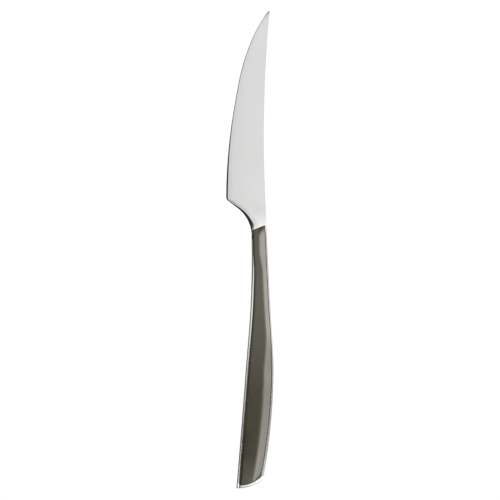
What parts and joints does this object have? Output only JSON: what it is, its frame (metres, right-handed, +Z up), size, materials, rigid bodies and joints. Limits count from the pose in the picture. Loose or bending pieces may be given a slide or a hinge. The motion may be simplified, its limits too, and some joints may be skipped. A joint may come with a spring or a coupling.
{
  "type": "table knife",
  "caption": "Table knife with a pointed, upswept steel blade, a slender neck and a full tang between two crowned, glossy taupe handle scales.",
  "frame": {"origin": "on the table under the middle of the knife's box, with the knife lying flat on its rear scale", "axes": "+Y along the knife to the tip, +X across the blade to the spine, +Z up, out of the front scale"},
  "size_m": [0.0238, 0.24, 0.0088],
  "materials": {
    "steel": "polished stainless steel",
    "scale": "glossy taupe moulding",
    "bond": "cured adhesive film",
    "pin": "ground dowel steel"
  },
  "bodies": {
    "root": {"blade_and_tang": "steel", "front_scale": "scale", "rear_scale": "scale", "front_bond": "bond", "rear_bond": "bond", "locating_pins": "pin"}
  },
  "joints": []
}
